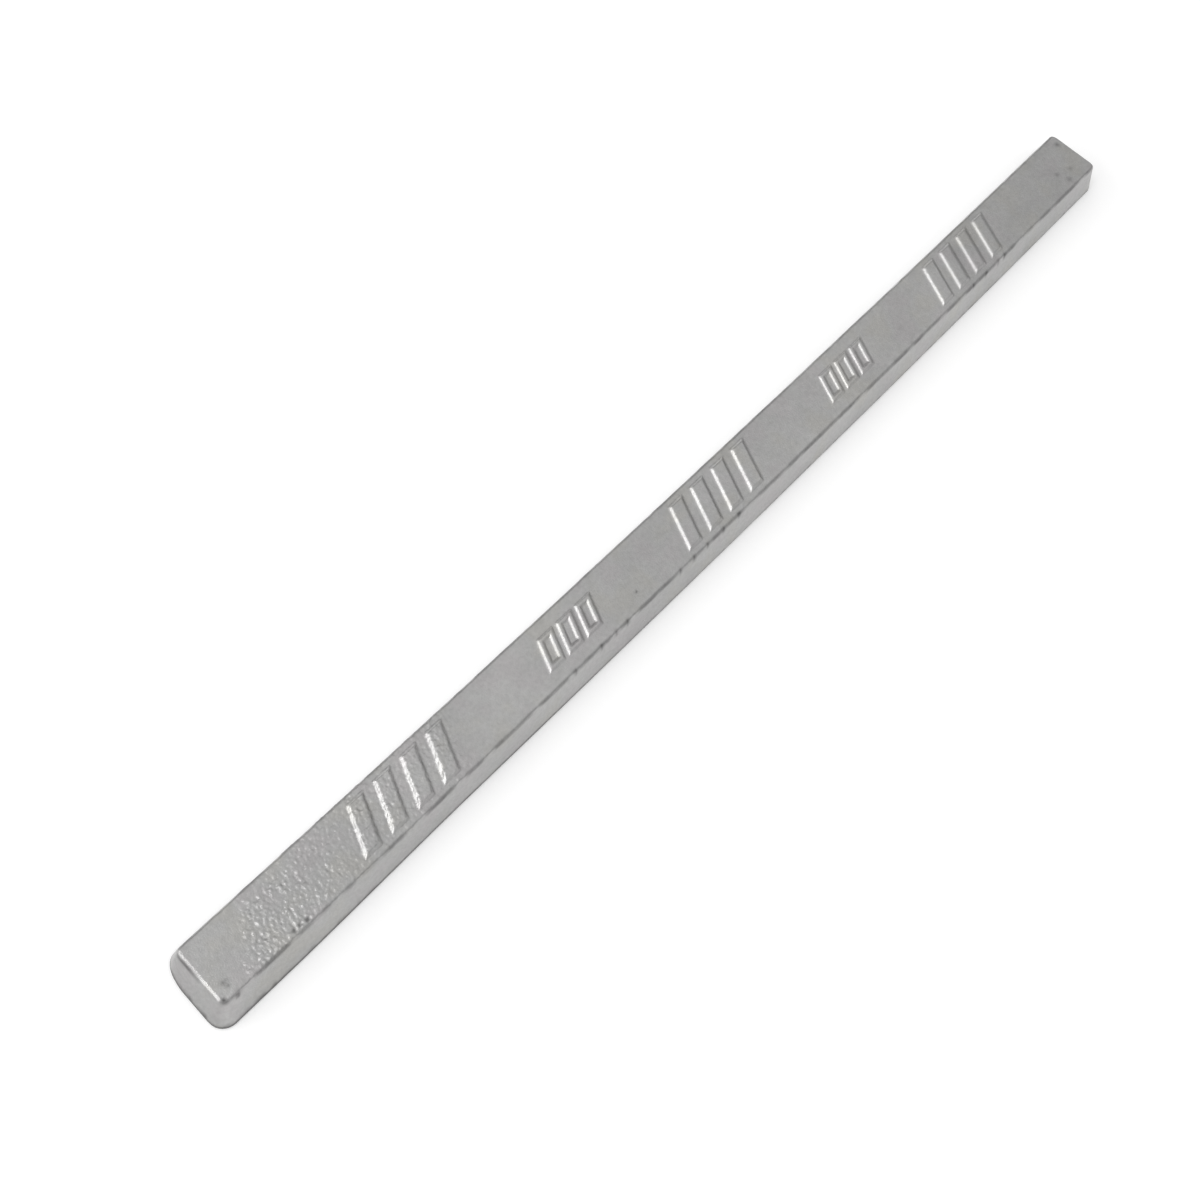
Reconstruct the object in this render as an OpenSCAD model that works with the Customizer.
// Solder bar: one long casting from an open ingot mould. Its sides and ends
// lean in towards the top, its edges are rounded, and the marks that were cut
// into the floor of the mould stand up from its top face.
// Millimetres. The bar lies on z = 0, its length runs along X, and the origin
// is under its middle.

/* [Bar] */
// Length of the bar, over its underside
bar_len = 330; // [220:1:480]
// Width of the bar, over its underside
bar_w = 18.5; // [16:0.5:30]
// Height from the underside to the plain top face
bar_h = 8.5; // [6:0.5:14]
// How far every side leans in between the underside and the top
draft = 2.2; // [0.8:0.1:2.8]

/* [Edges] */
// Radius of the four upright corners, measured at the top face
top_corner_r = 1.6; // [1.2:0.1:3]
// Radius that rounds the edge of the top face
edge_r = 0.6; // [0.3:0.1:1]
// Radius that rounds the edge of the underside
foot_r = 0.5; // [0.2:0.1:0.9]
// Number of flats that make one rounded edge
edge_steps = 5; // [3:1:12]

/* [Marks] */
// Distance between the middles of neighbouring marks
mark_pitch = 52.8; // [46:0.1:70]
// Least bare length between the last mark and the end of the bar
end_margin = 12; // [6:1:40]
// How far the strokes lean from straight across the bar, in degrees
mark_slant = 27; // [0:1:35]
// How far the strokes are rooted in the bar
mark_root = 0.4; // [0.2:0.1:1]

/* [Large mark] */
// Length of a large mark
large_len = 33; // [30:0.5:40]
// Bare top face on each side of a large mark
large_margin = 1.9; // [1.2:0.1:3]
// Number of strokes in a large mark
large_strokes = 4; // [3:1:5]
// Width of one stroke, along the bar
large_stroke_w = 4.2; // [3:0.1:4.5]
// Height of a large mark above the top face
large_relief = 0.7; // [0.3:0.1:1.4]

/* [Small mark] */
// Length of a small mark
small_len = 21; // [19:0.2:28]
// Bare top face on each side of a small mark
small_margin = 3.6; // [2.5:0.1:4]
// Number of open frames in a small mark
small_frames = 3; // [2:1:3]
// Bare gap between neighbouring frames
small_gap = 1.6; // [0.8:0.1:2]
// Width of the line that draws a frame
small_line_w = 1.1; // [0.6:0.1:1.3]
// Height of a small mark above the top face
small_relief = 0.5; // [0.2:0.1:1]

/* [Hidden] */

// Lean of the sides from the upright, in degrees
lean = atan(draft / bar_h);
// What the rounded foot takes off the reach of a sharp one, to the nearest
// thousandth, so that all the faces which have to meet fall on round numbers
foot_round = round(1000 * (foot_r / tan(45 - lean / 2) - foot_r)) / 1000;
// The upright corners are cones: their axes stay put and their radius grows
foot_corner_r = top_corner_r + draft - foot_round;
axis_x = bar_len / 2 - foot_corner_r;
axis_y = bar_w / 2 - foot_corner_r;
// Width of the top face, between its corners before they are rounded
top_w = 2 * (axis_y + top_corner_r);

// Centres of the two edge roundings, from the axis of an upright corner
edge_c = [top_corner_r - edge_r / tan(45 + lean / 2), bar_h - edge_r];
foot_c = [foot_corner_r - foot_r, foot_r];

// Marks on each side of the middle one, as many as the length has room for
marks_per_side = floor((bar_len / 2 - end_margin - large_len / 2) / mark_pitch);

function arc(centre, r, from, to) =
    [for (i = [0:edge_steps])
        let (a = from + (to - from) * i / edge_steps)
        centre + r * [cos(a), sin(a)]];

// Half of the section: from a corner's axis out to the leaning side
module edge_profile() {
    polygon(concat(
        [[0, 0]],
        arc(foot_c, foot_r, -90, lean),
        arc(edge_c, edge_r, lean, 90),
        [[0, bar_h]]
    ));
}

// The bar itself: a plain middle, four leaning sides and four coned corners,
// which meet face to face on the planes through the corner axes
module casting() {
    translate([-axis_x, -axis_y, 0])
        cube([2 * axis_x, 2 * axis_y, bar_h]);
    for (s = [0, 1]) {
        mirror([0, s, 0]) translate([0, axis_y, 0])
            rotate([90, 0, 90]) linear_extrude(2 * axis_x, center = true) edge_profile();
        mirror([s, 0, 0]) translate([axis_x, 0, 0])
            rotate([90, 0, 0]) linear_extrude(2 * axis_y, center = true) edge_profile();
    }
    for (sx = [0, 1], sy = [0, 1])
        mirror([sx, 0, 0]) mirror([0, sy, 0]) translate([axis_x, axis_y, 0])
            rotate_extrude(angle = 90, $fn = 96) edge_profile();
}

// Lifts a flat shape so that it stands up from the top face
module raised(relief) {
    translate([0, 0, bar_h - mark_root]) linear_extrude(mark_root + relief) children();
}

// A slanted block of a length along the bar and a half width across it
module slanted_block(len, half_w) {
    foot = len / 2;
    shift = half_w * tan(mark_slant);
    polygon([
        [-shift - foot, -half_w], [-shift + foot, -half_w],
        [shift + foot, half_w], [shift - foot, half_w]
    ]);
}

// Copies a shape n times along the bar, about the middle of the mark
module in_a_row(n, step) {
    for (i = [0:n - 1])
        translate([(i - (n - 1) / 2) * step, 0]) children();
}

// Large mark: a row of slanted strokes
module large_mark() {
    half_w = top_w / 2 - large_margin;
    step = (large_len - large_stroke_w - 2 * half_w * tan(mark_slant)) / (large_strokes - 1);
    raised(large_relief)
        in_a_row(large_strokes, step) slanted_block(large_stroke_w, half_w);
}

// Small mark: a row of open slanted frames, drawn with a thin line
module small_mark() {
    half_w = top_w / 2 - small_margin;
    gaps = (small_frames - 1) * small_gap;
    frame_len = (small_len - gaps - 2 * half_w * tan(mark_slant)) / small_frames;
    raised(small_relief)
        in_a_row(small_frames, frame_len + small_gap)
            difference() {
                slanted_block(frame_len, half_w);
                slanted_block(frame_len - 2 * small_line_w / cos(mark_slant),
                              half_w - small_line_w);
            }
}

// The marks take turns along the bar, with a large one in the middle
module marks() {
    for (i = [-marks_per_side:marks_per_side])
        translate([i * mark_pitch, 0, 0])
            if (i % 2 == 0) large_mark(); else small_mark();
}

module solder_bar() {
    color("silver") union() {
        casting();
        marks();
    }
}

solder_bar();
